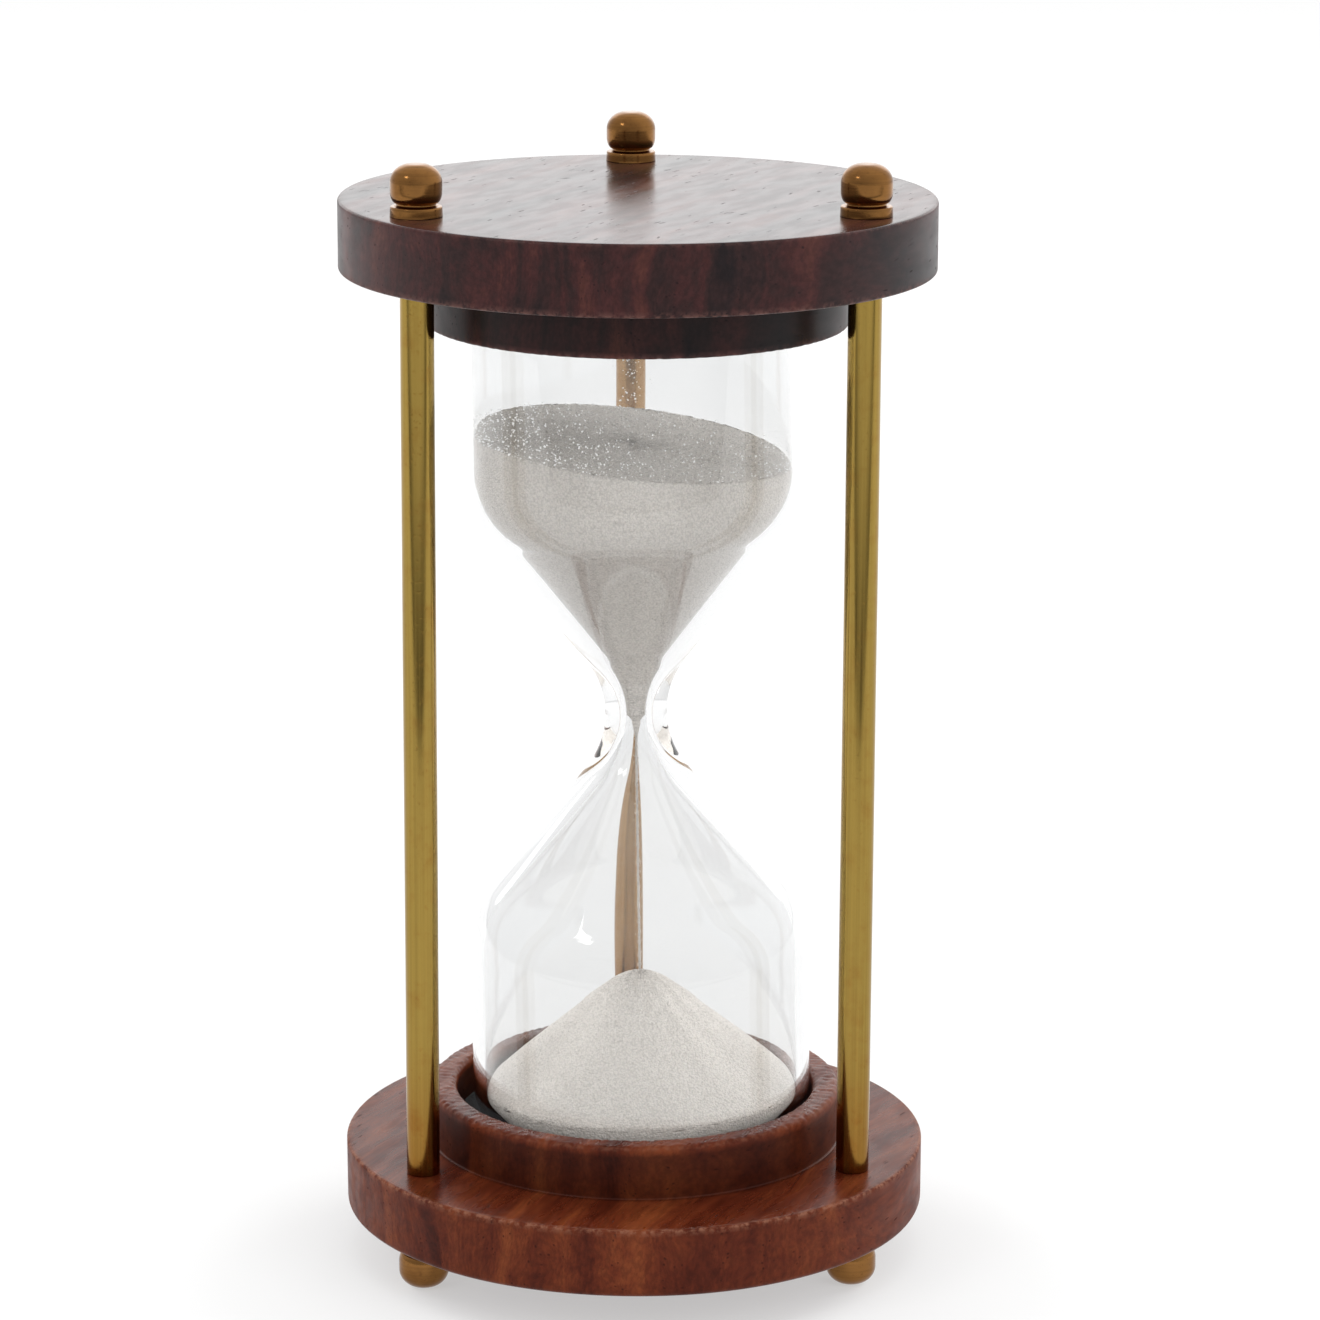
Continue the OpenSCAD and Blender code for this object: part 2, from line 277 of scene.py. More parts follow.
def turned_plate(name, bottom, seed, lower_round, arris_round, lip_round, chips):
    """A plate standing on height bottom with its collar upwards. The rim is a hair out of round, and the
    collar's lip is nibbled by chips metres. The arris attribute is 1 on the worn edges. A second
    attribute darkens the recess, as painted shade, and the collar's wall, a little less."""
    top = bottom + plate_height
    lip = top + collar_height
    corners = [
        (0, bottom, 0), (plate_radius, bottom, lower_round), (plate_radius, top, arris_round),
        (collar_radius, top, 0.0003), (collar_radius, lip, lip_round), (seat_radius, lip, lip_round),
        (seat_radius, top - seat_sink, 0.0003), (0, top - seat_sink, 0),
    ]
    profile = outline(corners, 0.00065)

    def change(angle, radius, height):
        out = waves(seed, 8, angle, height, (2, 9), 40) * 0.00004
        ragged = waves(seed + 1, 24, angle, radius + height, (20, 150), 900)
        near_lip = np.exp(-(((height - lip) / 0.0007) ** 2))
        bite = chips * near_lip * np.clip(0.35 + ragged, 0, 2)
        grow = np.where(radius > collar_radius - 0.002, -1, 1)
        radius = radius + np.where(radius > plate_radius * 0.9, out - 0.00004, 0) + grow * bite * 0.5
        return radius, height - bite

    plate = turned(name, profile, plate_points_round, change)
    edges = np.array([
        (plate_radius, top), (plate_radius, bottom), (collar_radius, lip), (seat_radius, lip),
    ])
    gap = np.linalg.norm(profile[1:-1, None, :] - edges[None], axis=-1)
    worn = (np.exp(-((gap / wear_reach) ** 2)) * [1, 0.3, 0.6, 0.5]).max(1)
    # Painted shade in the recess at full weight, and the collar's wall darkened at 0.6.
    on_collar = (abs(profile[1:-1, 0] - collar_radius) < 0.0004) & (profile[1:-1, 1] < lip - lip_round)
    deep = (profile[1:-1, 0] < seat_radius + 0.0002) & (profile[1:-1, 1] < lip - lip_round)
    darkened_share = np.maximum(on_collar * 0.6, deep) * (profile[1:-1, 1] > bottom + 0.001)
    for label, value in (("arris", worn), ("stain", darkened_share)):
        weight = np.append(np.repeat(value, plate_points_round), [0, 0]).astype(np.float32)
        plate.data.attributes.new(label, "FLOAT", "POINT").data.foreach_set("value", weight)
    return plate


plate_base = turned_plate("plate_base", plate_base_low.z, 11, 0.0010, 0.00045, 0.0009, 0.00009)
plate_top = turned_plate("plate_top", plate_base_low.z, 23, 0.0005, 0.00045, 0.0004, 0.00003)
plate_top.data.transform(Matrix.Translation((0, 0, 2 * middle_z)) @ Matrix.Rotation(np.pi, 4, "X"))

wood_base = varnished_wood(
    "rosewood_base", np.radians(65), (0.0, 0.16, -0.03),
    [(0.36, (0.034, 0.0050, 0.002)), (0.45, (0.070, 0.0118, 0.0045)), (0.53, (0.104, 0.0205, 0.007)),
     (0.66, (0.168, 0.041, 0.0125))],
    (0.23, 0.098, 0.060, 1), (0.022, 0.004, 0.002, 1), (0.22, 0.34), 0.11,
)
wood_top = varnished_wood(
    "rosewood_top", np.radians(65), (0.0, -0.14, 0.06),
    [(0.37, (0.010, 0.006, 0.007)), (0.46, (0.024, 0.010, 0.010)), (0.53, (0.040, 0.012, 0.012)),
     (0.66, (0.076, 0.023, 0.017))],
    (0.13, 0.06, 0.05, 1), (0.010, 0.003, 0.004, 1), (0.18, 0.23), 0.19,
)
for plate, wood, node, slot in (
    (plate_base, wood_base, "base_plate", "wood_base"), (plate_top, wood_top, "top_plate", "wood_top"),
):
    plate.data.materials.append(wood)
    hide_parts(node)
    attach(plate, "root")

# --- Brass pillars ------------------------------------------------------------------------------
# Three drawn brass rods, polished along their length, with a turned-down threaded end through each
# plate. They are browner near the base, partly patina and partly a painted reflection of the wooden
# base, and the rear one is redder all over.

pillar_radius = 0.0025
thread_radius = 0.0015
plate_inner = plate_base_low.z + plate_height


def aged_brass(name, bright, brown, brown_where, rough, along):
    """Brass that has been polished and left. Fine scratches follow the along scale, brown patina lies
    in soft patches, and the brown grows where the height passes through brown_where: on the rods that
    is partly patina and partly a painted reflection of the wooden base."""
    material, add = recipe(name)
    place = add("TexCoord").outputs["Object"]
    height = add("SeparateXYZ", {}, {"Vector": place}).outputs["Z"]
    scratches = noise(add, stretched(add, place, along), 1.0, 4.0, 0.65)
    patches = noise(add, place, 260.0, 4.0, 0.6)
    spots = between(add, noise(add, place, 1500.0, 2.0), 0.62, 0.72)
    # Browner low down, over brown_where: partly patina, partly a painted reflection of the wooden base.
    patina_and_reflection = between(add, height, brown_where[0], brown_where[1], 0.0, 0.75)
    patina_and_reflection = reckon(add, "ADD", patina_and_reflection, between(add, patches, 0.45, 0.75, 0.0, 0.35))
    patina_and_reflection = reckon(add, "ADD", patina_and_reflection, reckon(add, "MULTIPLY", spots, 0.25))
    patina_and_reflection = reckon(add, "MINIMUM", patina_and_reflection, 1.0)
    colour = blend_colour(add, patina_and_reflection, bright, brown)
    shade = between(add, scratches, 0.3, 0.7, 0.88, 1.08)
    colour = blend_colour(add, 1.0, colour, shade, "MULTIPLY")
    dull = between(add, scratches, 0.3, 0.7, rough[0], rough[1])
    dull = reckon(add, "MULTIPLY_ADD", patina_and_reflection, 0.08, dull)
    height_map = reckon(add, "MULTIPLY_ADD", spots, -0.6, scratches)
    bump = add("Bump", {}, {"Height": height_map, "Strength": 0.15, "Distance": 0.00003})
    shader = add(
        "BsdfPrincipled", {},
        {"Base Color": colour, "Metallic": 1.0, "Roughness": dull, "Normal": bump.outputs[0]},
    )
    finish_with(add, shader.outputs[0])
    return material


# Browner over the lowest 26 mm: partly patina, partly a painted reflection of the wooden base.
pillar_brass = aged_brass(
    "pillar_brass", (0.325, 0.218, 0.052, 1), (0.260, 0.115, 0.022, 1),
    (plate_inner + 0.026, plate_inner), (0.09, 0.15), (2600, 2600, 14),
)
rear_brass = aged_brass(
    "rear_brass", (0.420, 0.250, 0.110, 1), (0.330, 0.160, 0.075, 1),
    (plate_inner + 0.026, plate_inner), (0.14, 0.24), (2600, 2600, 14),
)


def pillar(name, node, seed, brass):
    """A rod whose ends step down to the thread's diameter at the plates' inner faces."""
    low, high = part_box(node)
    foot, head = plate_inner, 2 * middle_z - plate_inner
    corners = [
        (0, low.z, 0), (thread_radius, low.z, 0.0003), (thread_radius, foot, 0),
        (pillar_radius, foot, 0.0002), (pillar_radius, head, 0.0002),
        (thread_radius, head, 0), (thread_radius, high.z, 0.0003), (0, high.z, 0),
    ]

    def change(angle, radius, height):
        wave = waves(seed, 5, angle, height, (0, 3), 30) * 0.000010
        return radius + np.where(radius > pillar_radius * 0.9, wave - 0.00001, 0), height

    middle = ((low.x + high.x) / 2, (low.y + high.y) / 2)
    rod = turned(name, outline(corners, 0.0012, 5), 96, change, middle)
    rod.data.materials.append(brass)
    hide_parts(node)
    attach(rod, "root")


pillar("rod_left", "pillar_left", 40, pillar_brass)
pillar("rod_right", "pillar_right", 41, pillar_brass)
pillar("rod_rear", "pillar_rear", 42, rear_brass)

# --- Brass ball nuts ----------------------------------------------------------------------------
# Small turned nuts: a base ring, a groove and a flattened ball with a straight band and a tiny flat
# on its crown. Three hold the top plate, and three under the base are the feet. Browner than the rods.

nut_ring_radius = 0.00385
nut_ring_height = 0.0015
nut_ball_radius = 0.0038
nut_neck_radius = 0.0029
nut_flat_radius = 0.0009
nut_bore_depth = 0.0044
nut_height = plate_base_low.z

nut_brass = aged_brass(
    "nut_brass", (0.265, 0.125, 0.038, 1), (0.080, 0.027, 0.009, 1),
    (1.0, 2.0), (0.13, 0.22), (60, 60, 3800),
)


def ball_nut(name, node, seat, up, seed):
    """A nut whose ring lies against height seat and whose ball points up (1) or down (-1). The
    outline starts and ends on the axis, so that the tapped hole is part of it."""
    low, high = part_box(node)
    cove = nut_neck_radius + 0.00035
    under = nut_ring_height + 0.0004
    band_low, band_high = nut_ring_height + 0.0021, nut_height - 0.0027
    bore = thread_radius + 0.00003
    corners = [
        (0, nut_bore_depth, 0), (bore, nut_bore_depth, 0), (bore, 0.0002, 0), (bore + 0.0002, 0, 0),
        (nut_ring_radius, 0, 0.0001), (nut_ring_radius - 0.00006, nut_ring_height, 0.00022),
        (cove, nut_ring_height, 0.0001), (nut_neck_radius, nut_ring_height + 0.0002, 0.0001),
        (nut_neck_radius, under, 0.0001),
    ]
    base = outline(corners, 0.0003, 5)
    swell = np.linspace(0, np.pi / 2, 14)[1:, None]
    rise = np.hstack([
        nut_neck_radius + (nut_ball_radius - nut_neck_radius) * np.sin(swell),
        under + (band_low - under) * (1 - np.cos(swell)),
    ])
    fall = np.linspace(0, np.pi / 2, 26)[:, None]
    dome = np.hstack([
        nut_flat_radius + (nut_ball_radius - nut_flat_radius) * np.cos(fall),
        band_high + (nut_height - band_high) * np.sin(fall),
    ])
    profile = np.vstack([base, rise, dome, [[0, nut_height]]])

    def change(angle, radius, height):
        outside = height > 0.0001
        wave = waves(seed, 6, angle, height, (0, 4), 250) * 0.000012 - 0.000012
        return radius + np.where(outside & (radius > bore * 1.2) & (height < nut_height), wave, 0), height

    middle = ((low.x + high.x) / 2, (low.y + high.y) / 2)
    nut = turned(name, profile, 96, change, middle)
    if up < 0:
        flip = Matrix.Translation((0, 2 * middle[1], seat)) @ Matrix.Rotation(np.pi, 4, "X")
    else:
        flip = Matrix.Translation((0, 0, seat))
    nut.data.transform(flip)
    nut.data.materials.append(nut_brass)
    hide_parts(node)
    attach(nut, "root")


for seed, side in enumerate(("left", "right", "rear")):
    ball_nut(f"foot_{side}", f"foot_nut_{side}", plate_base_low.z, -1, 60 + seed)
    ball_nut(f"finial_{side}", f"top_nut_{side}", plate_top_high.z, 1, 70 + seed)

# --- Blown glass ----------------------------------------------------------------------------------
# One piece of clear glass tube, drawn in at the waist over a flame to a thick neck, with rounded
# ends and a filling hole in the upper one. It leans a little in its recesses.

glass_low, glass_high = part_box("glass")
glass_half = 0.0664
glass_middle = (glass_low.z + glass_high.z) / 2
glass_radius = 0.026
glass_wall = 0.0020
glass_lean = np.arctan(0.8 * 0.0015 / glass_half)
neck_radius = 0.0047
neck_round = 0.0136
cone_out = np.radians(37.3)
cone_in = np.radians(39.5)
cone_wall = 0.0019
shoulder_round = 0.015
end_round = 0.0075
throat_radius = 0.0016
filler_radius = 0.0045

neck_start = neck_round * np.tan(cone_out / 2)
shoulder_z = neck_start + (glass_radius - neck_radius) / np.tan(cone_out)
bore_radius = glass_radius - glass_wall
across_wall = cone_wall / np.cos(cone_out)
inner_shoulder_z = neck_start + (bore_radius + across_wall - neck_radius) / np.tan(cone_out)
inner_start = inner_shoulder_z - (bore_radius - throat_radius) / np.tan(cone_in)
throat_round = inner_start / np.tan(cone_in / 2)
inner_half = glass_half - glass_wall


def leaning(piece):
    """Puts a piece drawn about the throat into the leaning glass's place."""
    place = Matrix.Translation((0, 0, glass_middle)) @ Matrix.Rotation(-glass_lean, 4, "Y")
    piece.data.transform(place)
    return piece


outer_corners = [
    (0, -glass_half, 0), (glass_radius, -glass_half, end_round),
    (glass_radius, -shoulder_z, shoulder_round),
    (neck_radius, -neck_start, neck_round), (neck_radius, neck_start, neck_round),
    (glass_radius, shoulder_z, shoulder_round), (glass_radius, glass_half, end_round),
    (filler_radius, glass_half, 0.0004),
]
inner_corners = [
    (filler_radius, inner_half, 0.0004), (bore_radius, inner_half, end_round - glass_wall),
    (bore_radius, inner_shoulder_z, shoulder_round - glass_wall),
    (throat_radius, inner_start, throat_round), (throat_radius, -inner_start, throat_round),
    (bore_radius, -inner_shoulder_z, shoulder_round - glass_wall),
    (bore_radius, -inner_half, end_round - glass_wall), (0, -inner_half, 0),
]
glass_profile = outline(outer_corners + inner_corners, 0.0007, 15)


def blown(angle, radius, height):
    """Hand work: the inside wanders from the outside by slow waves, most on the shoulders."""
    inside = np.arange(len(radius))[:, None] > len(radius) / 2
    off_throat = np.clip((radius - throat_radius) / 0.004, 0, 1)
    free = off_throat * np.clip((inner_half - abs(height)) / 0.006, 0, 1)
    drift = waves(90, 7, angle, height, (1, 3), 22) * 0.00008
    skin_wave = waves(91, 6, angle, height, (1, 3), 20) * 0.00003 - 0.00003
    return radius + np.where(inside, drift * free, skin_wave * np.clip(radius / 0.01, 0, 1)), height


glass = leaning(turned("glass_bulbs", glass_profile, 192, blown, smooth_to=60))


def clear_glass(name):
    """Clear glass with a faint blown ripple. Rays from lamps pass straight through it, so that the
    sand inside is lit, and so do rays that have been reflected three times, which would end black."""
    material, add = recipe(name)
    place = add("TexCoord").outputs["Object"]
    ripple = noise(add, stretched(add, place, (1, 1, 0.6)), 90.0, 1.0)
    bump = add("Bump", {}, {"Height": ripple, "Strength": 0.05, "Distance": 0.0004})
    body = add(
        "BsdfPrincipled", {},
        {"Base Color": (0.885, 0.890, 0.892, 1), "Roughness": 0.0, "IOR": 1.5, "Transmission Weight": 1.0,
         "Normal": bump.outputs[0]},
    )
    through = add("BsdfTransparent", {}, {"Color": (0.98, 0.985, 0.985, 1)})
    path = add("LightPath").outputs
    trapped = reckon(add, "GREATER_THAN", path["Glossy Depth"], 2.5)
    straight = reckon(add, "MAXIMUM", path["Is Shadow Ray"], trapped)
    both = add("MixShader", {}, {0: straight, 1: body.outputs[0], 2: through.outputs[0]})
    finish_with(add, both.outputs[0])
    return material


glass.data.materials.append(clear_glass("clear_glass"))
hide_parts("glass")
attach(glass, "root")

# --- Foam pads and cork ---------------------------------------------------------------------------
# Discs of black foam at the bottom of each recess, pressed by the glass, and the cork that closes the
# filling hole.


def foam_black(name):
    """Closed-cell foam: near black, with round cells in the cut surface."""
    material, add = recipe(name)
    place = add("TexCoord").outputs["Object"]
    cells = add("TexVoronoi", {}, {"Vector": place, "Scale": 2600.0}).outputs["Distance"]
    colour = blend_colour(
        add, between(add, cells, 0.1, 0.6), (0.012, 0.013, 0.014, 1), (0.05, 0.052, 0.055, 1)
    )
    bump = add("Bump", {}, {"Height": cells, "Strength": 0.6, "Distance": 0.0001})
    surface = {"Base Color": colour, "Roughness": 0.9, "Normal": bump.outputs[0]}
    shader = add("BsdfPrincipled", {}, surface)
    finish_with(add, shader.outputs[0])
    return material


def cork_brown(name):
    """Cork: brown grains of mixed shade with dark seams between them."""
    material, add = recipe(name)
    place = add("TexCoord").outputs["Object"]
    grains = add("TexVoronoi", {}, {"Vector": place, "Scale": 900.0})
    shade = add("SeparateColor", {}, {"Color": grains.outputs["Color"]}).outputs[0]
    colour = blend_colour(add, shade, (0.42, 0.25, 0.13, 1), (0.62, 0.42, 0.25, 1))
    seams = between(add, noise(add, place, 500.0, 3.0), 0.6, 0.7)
    colour = blend_colour(add, reckon(add, "MULTIPLY", seams, 0.8), colour, (0.10, 0.05, 0.03, 1))
    bump = add("Bump", {}, {"Height": shade, "Strength": 0.4, "Distance": 0.0001})
    surface = {"Base Color": colour, "Roughness": 0.85, "Normal": bump.outputs[0]}
    shader = add("BsdfPrincipled", {}, surface)
    finish_with(add, shader.outputs[0])
    return material


foam = foam_black("foam_black")
for node in ("base_pad", "top_pad"):
    nodes[node].data.materials.clear()
    nodes[node].data.materials.append(foam)
nodes["filler_cork"].data.materials.clear()
nodes["filler_cork"].data.materials.append(cork_brown("cork_brown"))

# --- Sand -------------------------------------------------------------------------------------------
# Fine pale sand: what is left above the throat, with its surface fallen to the right, the thread that
# runs through the throat, and the heap that it builds. Loose grains lie on both and cling to the wall.

sand_gap = 0.00018
upper_level = 0.0418
upper_slope = np.radians(6)
upper_dip = np.radians(1.5)
heap_edge = 0.0005
heap_slope = np.radians(39)

space_radius = bore_radius - sand_gap
space_throat = throat_radius - sand_gap
space_start = inner_start + sand_gap * np.tan(cone_in / 2)


def pale_sand(name, light, dark):
    """Grains of a third of a millimetre, each its own shade between light and dark, with dark seams
    between them and slow patches over all."""
    material, add = recipe(name)
    place = add("TexCoord").outputs["Object"]
    grains = add("TexVoronoi", {}, {"Vector": place, "Scale": 3300.0})
    shade = add("SeparateColor", {}, {"Color": grains.outputs["Color"]}).outputs[0]
    patches = noise(add, place, 120.0, 3.0)
    share = reckon(add, "MULTIPLY_ADD", patches, 0.5, reckon(add, "MULTIPLY", shade, 0.5))
    colour = blend_colour(add, share, light, dark)
    seam = between(add, grains.outputs["Distance"], 0.35, 0.75, 1.0, 0.82)
    colour = blend_colour(add, 1.0, colour, seam, "MULTIPLY")
    glint = between(add, shade, 0.93, 0.97, 0.75, 0.18)
    bump = add(
        "Bump", {"invert": True},
        {"Height": grains.outputs["Distance"], "Strength": 0.8, "Distance": 0.00018},
    )
    surface = {"Base Color": colour, "Roughness": glint, "Normal": bump.outputs[0]}
    shader = add("BsdfPrincipled", {}, surface)
    finish_with(add, shader.outputs[0])
    return material


sand = pale_sand("pale_sand", (0.94, 0.885, 0.83, 1), (0.77, 0.715, 0.66, 1))


def sand_body(name, profile, around, change, node):
    """A turned body of sand in the glass's lean, which stands for one CAD node."""
    body = leaning(turned(name, profile, around, change, smooth_to=180))
    body.data.materials.append(sand)
    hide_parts(node)
    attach(body, "root")
    return body


upper_corners = [
    (0, 0, 0), (space_throat, 0, 0), (space_throat, space_start, throat_round + sand_gap),
    (space_radius, inner_shoulder_z, shoulder_round - glass_wall - sand_gap),
    (space_radius, upper_level, 0.0002), (0, upper_level, 0),
]
upper_profile = outline(upper_corners, 0.00042, 15)
grain_dice = np.random.default_rng(5)


def surface_rise(angle, radius):
    """Height of the upper sand's tilted plane over its middle: down to the right and to the front."""
    to_front, to_right = np.tan(upper_dip), np.tan(upper_slope + glass_lean)
    return radius * (np.sin(angle) * to_front - np.cos(angle) * to_right)


def fallen(angle, radius, height):
    """The surface tilts down to the right: heights near the level are stretched to a sloping plane
    with low dunes, and every point is roughened by a grain's height."""
    plane = surface_rise(angle, radius)
    dunes = waves(101, 14, angle, radius, (0, 5), 160) * 0.00022
    share = np.clip((height - 0.030) / (upper_level - 0.030), 0, 1) ** 2
    rough = grain_dice.normal(0, 0.00004, radius.shape)
    on_top = share > 0.999
    ebb = np.clip(1 - radius / space_radius, 0.1, 1) * np.clip(radius / 0.005, 0, 1)
    lift = (plane + dunes * ebb) * share
    return radius - abs(rough) * (radius > 0.001), height + lift + np.where(on_top, rough * 1.6, 0)


sand_body("sand_above", upper_profile, 300, fallen, "sand_upper")

heap_floor = sand_gap - inner_half
heap_corner = end_round - glass_wall - sand_gap
heap_rim = heap_floor + heap_corner + heap_edge
tip_radius = 0.0050
heap_shoulder = heap_rim + (space_radius - tip_radius) * np.tan(heap_slope)
heap_corners = [
    (0, heap_floor, 0), (space_radius, heap_floor, heap_corner),
    (space_radius, heap_rim, 0.0008), (tip_radius, heap_shoulder, 0),
]
inward = np.linspace(1, 0, 13)[1:, None]
tip_height = tip_radius * np.tan(heap_slope) / 2
blunt_tip = np.hstack([tip_radius * inward, heap_shoulder + tip_height * (1 - inward**2)])
heap_profile = np.vstack([outline(heap_corners, 0.00042, 15), blunt_tip])


def heaped(angle, radius, height):
    """The cone's flank is roughened by grains and by shallow slides down its slope."""
    rough = grain_dice.normal(0, 0.00005, radius.shape)
    flank = height > heap_rim - 0.001
    slides = waves(111, 16, angle, radius * 0.3, (3, 16), 60) * 0.00012
    shape = slides * np.clip(radius / 0.008, 0, 1) * np.clip((space_radius - radius) / 0.004, 0, 1)
    return radius - abs(rough) * (radius > 0.001), height + np.where(flank, shape + rough, 0)


sand_body("sand_heap", heap_profile, 300, heaped, "sand_lower")

stream_low = heap_profile[-1, 1] - 0.0005
core_radius = 0.00016
stream_corners = [
    (0, stream_low, 0), (core_radius, stream_low, 0), (core_radius, -0.004, 0),
    (space_throat * 0.5, -0.0008, 0), (space_throat * 0.96, 0, 0), (0, 0, 0),
]


def pouring(angle, radius, height):
    """The falling thread is a little uneven, as grains run through the throat in small gusts."""
    gusts = 1 + 0.06 * waves(121, 12, angle * 0, height, (0, 0), 500)
    return radius * gusts + grain_dice.normal(0, 0.00003, radius.shape), height


sand_body("sand_thread", outline(stream_corners, 0.0003), 24, pouring, "sand_stream")


def loose_grains(name, spots, smallest, largest, seed, material):
    """Eight-sided grains centred on the spots, each of its own size and turn."""
    rng = np.random.default_rng(seed)
    tips = np.array([[1, 0, 0], [0, 1, 0], [-1, 0, 0], [0, -1, 0], [0, 0, 1], [0, 0, -1]], float)
    upper_sides = [[0, 1, 4], [1, 2, 4], [2, 3, 4], [3, 0, 4]]
    sides = np.array(upper_sides + [[1, 0, 5], [2, 1, 5], [3, 2, 5], [0, 3, 5]])
    count = len(spots)
    size = rng.uniform(smallest, largest, (count, 1, 1)) / 2
    squash = rng.uniform(0.6, 1.0, (count, 1, 3))
    spin = rng.normal(size=(count, 4))
    w, x, y, z = (spin / np.linalg.norm(spin, axis=1, keepdims=True)).T
    turn = np.stack([
        1 - 2 * (y * y + z * z), 2 * (x * y - w * z), 2 * (x * z + w * y),
        2 * (x * y + w * z), 1 - 2 * (x * x + z * z), 2 * (y * z - w * x),
        2 * (x * z - w * y), 2 * (y * z + w * x), 1 - 2 * (x * x + y * y),
    ], -1).reshape(count, 3, 3)
    points = np.einsum("nij,nkj->nki", turn, tips[None] * size * squash) + spots[:, None, :]
    faces = sides[None] + np.arange(count)[:, None, None] * len(tips)
    piece = leaning(skin(name, points.reshape(-1, 3), [faces.reshape(-1, 3)], 1))
    piece.data.materials.append(material)
    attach(piece, "root")


def quartz(name):
    """Single grains: pale and glassy, so that a few of them catch the light."""
    material, add = recipe(name)
    place = add("TexCoord").outputs["Object"]
    shade = noise(add, place, 1400.0, 1.0)
    share = between(add, shade, 0.35, 0.65)
    colour = blend_colour(add, share, (0.92, 0.89, 0.85, 1), (0.68, 0.64, 0.60, 1))
    shader = add("BsdfPrincipled", {}, {"Base Color": colour, "Roughness": 0.12, "IOR": 1.55})
    finish_with(add, shader.outputs[0])
    return material


def glinting(name):
    """Grains whose facet happens to throw the light back, for which a faint glow stands in."""
    material, add = recipe(name)
    place = add("TexCoord").outputs["Object"]
    shade = between(add, noise(add, place, 1700.0, 1.0), 0.35, 0.65, 0.80, 1.0)
    colour = blend_colour(add, shade, (0.70, 0.68, 0.66, 1), (0.98, 0.97, 0.96, 1))
    shader = add(
        "BsdfPrincipled", {},
        {"Base Color": colour, "Roughness": 0.25,
         "Emission Color": (1, 1, 1, 1), "Emission Strength": 0.28},
    )
    finish_with(add, shader.outputs[0])
    return material


grain_quartz = quartz("grain_quartz")
grain_glint = glinting("grain_glint")
spread = np.random.default_rng(7)


def scattered(count, reach):
    """Random places on a disc: angles all round, and radii that cover the disc evenly."""
    return spread.uniform(0, 2 * np.pi, count), reach * np.sqrt(spread.uniform(0, 1, count))


loose_count, glint_from = 2600, 2300
angle, radius = scattered(loose_count, space_radius - 0.0004)
plane = surface_rise(angle, radius)
level = upper_level + plane + spread.uniform(-0.00005, 0.00015, len(plane))
on_upper = np.stack([radius * np.cos(angle), radius * np.sin(angle), level], -1)
loose_grains("grains_above", on_upper[:glint_from], 0.00018, 0.00040, 8, grain_quartz)
loose_grains("glints_above", on_upper[glint_from:], 0.00020, 0.00036, 13, grain_glint)

angle, radius = scattered(loose_count, space_radius - 0.0005)
height = np.interp(radius, heap_profile[::-1, 0], heap_profile[::-1, 1])
height = height + spread.uniform(-0.00005, 0.00012, len(height))
on_heap = np.stack([radius * np.cos(angle), radius * np.sin(angle), height], -1)
loose_grains("grains_on_heap", on_heap[:glint_from], 0.00018, 0.00036, 9, grain_quartz)
loose_grains("glints_on_heap", on_heap[glint_from:], 0.00020, 0.00036, 14, grain_glint)

falling_count = 420
fall = spread.uniform(stream_low, -0.002, falling_count)
off_axis = spread.normal(0, 0.00022, (falling_count, 2))
loose_grains("grains_falling", np.column_stack([off_axis, fall]), 0.00014, 0.00026, 12, grain_quartz)

# Dust clings to the front of the wall just above the sand, most on the left, and in a streak higher up.
# These grains carry the glint material, whose faint glow is a painted glint.
dusty_height = 0.011
streak_count = 60
near_wall = bore_radius - 0.00034
angle = np.concatenate([spread.uniform(3.3, 6.1, 220), spread.normal(4.0, 0.4, 420)])
sand_edge = upper_level - 0.0005 - 0.0027 * np.cos(angle)
height = sand_edge - dusty_height * np.sin(angle) * spread.power(0.8, len(angle))
angle = np.append(angle, spread.normal(1.5 * np.pi, 0.05, streak_count))
height = np.append(height, spread.uniform(upper_level + 0.010, upper_level + 0.020, streak_count))
on_wall = np.stack([near_wall * np.cos(angle), near_wall * np.sin(angle), height], -1)
loose_grains("grains_on_wall", on_wall, 0.00017, 0.00043, 10, grain_glint)

# --- Studio -----------------------------------------------------------------------------------------
# An opal table lit from below that runs on behind, a large soft panel behind, fills all round and one
# small lamp for highlights. The room is brighter behind and to the right. A dark card in front of the
# object is only seen in reflections.

floor_reach = 4.0
card_edge = -0.337
card_fade = 0.35
room_brightness = 0.80
brighter_towards = (0.15, 0.27, 0.12)


def flat_card(name, corners, material):
    """One quad for the studio."""
    mesh = bpy.data.meshes.new(name)
    mesh.from_pydata(corners, [], [(0, 1, 2, 3)])
    card = bpy.data.objects.new(name, mesh)
    bpy.context.scene.collection.objects.link(card)
    card.data.materials.append(material)
    return card


def opal(name, grey, glow):
    """A matt white surface that also glows, as opal glass does with a lamp under it."""
    material, add = recipe(name)
    matt = add("BsdfDiffuse", {}, {"Color": (grey, grey, grey, 1)})
    lit = add("Emission", {}, {"Color": (1, 1, 1, 1), "Strength": glow})
    finish_with(add, add("AddShader", {}, {0: matt.outputs[0], 1: lit.outputs[0]}).outputs[0])
    return material


